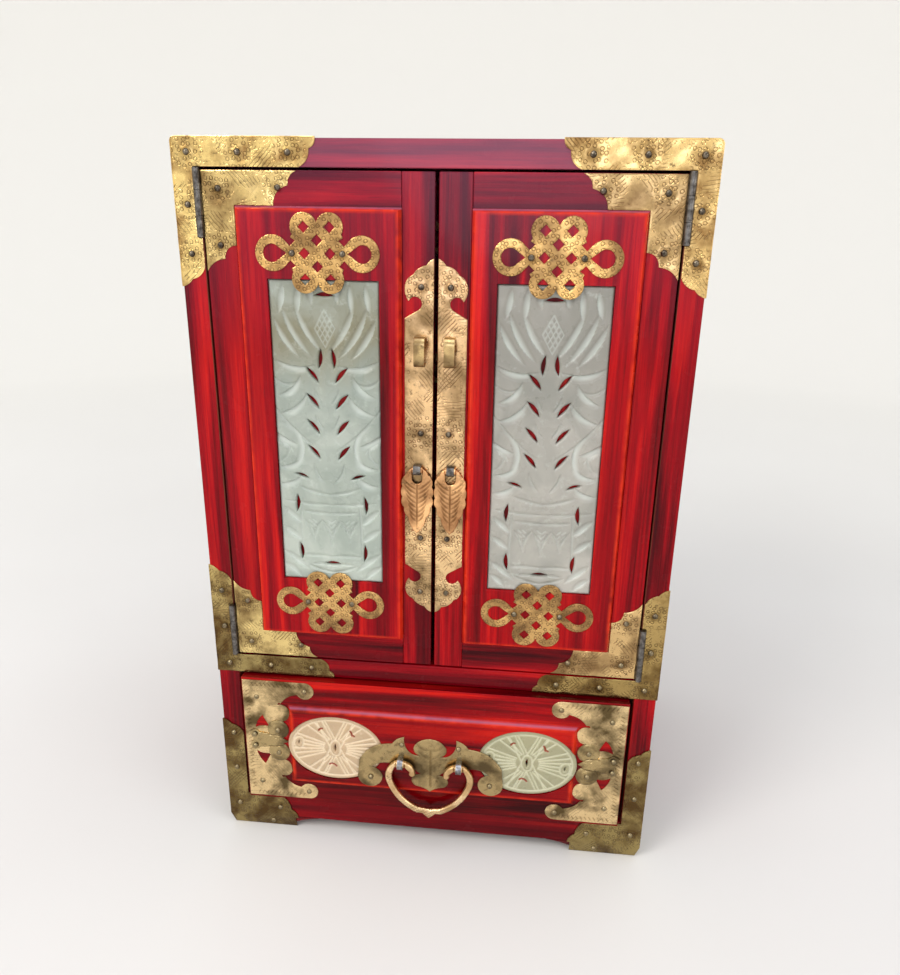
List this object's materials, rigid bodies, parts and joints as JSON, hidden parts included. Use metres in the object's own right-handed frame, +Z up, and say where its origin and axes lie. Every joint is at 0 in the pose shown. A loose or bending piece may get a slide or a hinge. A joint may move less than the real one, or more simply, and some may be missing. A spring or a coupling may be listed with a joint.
{
  "type": "jewelry armoire",
  "caption": "Table-top jewellery cabinet: lacquered case, hinged doors with carved stone plaques over a drawer with a bail handle, brass corner mounts.",
  "frame": {"origin": "on the surface it stands on, at the middle of its whole width and depth, protruding hardware included", "axes": "+X to the right as seen from the front, -Y out of the front, +Z up"},
  "size_m": [0.2334, 0.182, 0.3626],
  "materials": {
    "lacquer": "gloss lacquer",
    "inner_wood": "satin",
    "brass": "aged, engraved",
    "steel": "dull",
    "jade": "polished, carved",
    "lining": "silk"
  },
  "bodies": {
    "cabinet": {"side_board_left": "lacquer", "side_board_right": "lacquer", "top_board": "lacquer", "back_board": "lacquer", "middle_board": "lacquer", "base_board": "inner_wood", "bottom_rail": "lacquer", "feet": "lacquer", "dust_boards": "inner_wood", "frame_bracket_top_left": "brass", "frame_bracket_top_right": "brass", "frame_bracket_middle_left": "brass", "frame_bracket_middle_right": "brass", "base_bracket_left": "brass", "base_bracket_right": "brass", "frame_nails": "brass", "hinge_frame_leaves": "steel", "hinge_pins": "steel"},
    "door_left": {"door_left_frame": "lacquer", "door_left_panel": "lacquer", "door_left_jade": "jade", "door_left_knots": "brass", "door_left_brackets": "brass", "door_left_strike_plate": "brass", "door_left_lock_loop": "brass", "door_left_pull_staple": "steel", "door_left_nails": "brass", "door_left_hinge_leaves": "steel"},
    "door_right": {"door_right_frame": "lacquer", "door_right_panel": "lacquer", "door_right_jade": "jade", "door_right_knots": "brass", "door_right_brackets": "brass", "door_right_strike_plate": "brass", "door_right_lock_loop": "brass", "door_right_pull_staple": "steel", "door_right_nails": "brass", "door_right_hinge_leaves": "steel"},
    "pull_left": {"leaf_pull_left": "brass"},
    "pull_right": {"leaf_pull_right": "brass"},
    "drawer": {"drawer_front": "lacquer", "drawer_sides": "inner_wood", "drawer_back": "inner_wood", "drawer_bottom": "inner_wood", "drawer_lining": "lining", "drawer_jade_ovals": "jade", "drawer_corner_plates": "brass", "drawer_nails": "brass", "handle_plate": "brass", "bail_staples": "steel"},
    "bail": {"bail_handle": "brass"},
    "inner_drawer_1": {"inner_drawer_1": "inner_wood", "inner_knob_1": "brass"},
    "inner_drawer_2": {"inner_drawer_2": "inner_wood", "inner_knob_2": "brass"},
    "inner_drawer_3": {"inner_drawer_3": "inner_wood", "inner_knob_3": "brass"},
    "inner_drawer_4": {"inner_drawer_4": "inner_wood", "inner_knob_4": "brass"}
  },
  "joints": [
    {"name": "door_left_hinge", "type": "hinge", "parent": "cabinet", "child": "door_left", "pos_m": [-0.10475, -0.07965, 0.2312], "axis": [0, 0, 1], "range_deg": [-150, 0]},
    {"name": "door_right_hinge", "type": "hinge", "parent": "cabinet", "child": "door_right", "pos_m": [0.10475, -0.07965, 0.2312], "axis": [0, 0, 1], "range_deg": [0, 150]},
    {"name": "pull_left_swing", "type": "hinge", "parent": "door_left", "child": "pull_left", "pos_m": [-0.0079, -0.08135, 0.219], "axis": [-1, 0, 0], "range_deg": [0, 110]},
    {"name": "pull_right_swing", "type": "hinge", "parent": "door_right", "child": "pull_right", "pos_m": [0.0079, -0.08135, 0.219], "axis": [-1, 0, 0], "range_deg": [0, 110]},
    {"name": "drawer_slide", "type": "slide", "parent": "cabinet", "child": "drawer", "axis": [0, -1, 0], "range_m": [0, 0.11]},
    {"name": "bail_swing", "type": "hinge", "parent": "drawer", "child": "bail", "pos_m": [0, -0.0879, 0.057], "axis": [-1, 0, 0], "range_deg": [0, 95]},
    {"name": "inner_drawer_1_slide", "type": "slide", "parent": "cabinet", "child": "inner_drawer_1", "axis": [0, -1, 0], "range_m": [0, 0.012]},
    {"name": "inner_drawer_2_slide", "type": "slide", "parent": "cabinet", "child": "inner_drawer_2", "axis": [0, -1, 0], "range_m": [0, 0.012]},
    {"name": "inner_drawer_3_slide", "type": "slide", "parent": "cabinet", "child": "inner_drawer_3", "axis": [0, -1, 0], "range_m": [0, 0.012]},
    {"name": "inner_drawer_4_slide", "type": "slide", "parent": "cabinet", "child": "inner_drawer_4", "axis": [0, -1, 0], "range_m": [0, 0.012]}
  ]
}
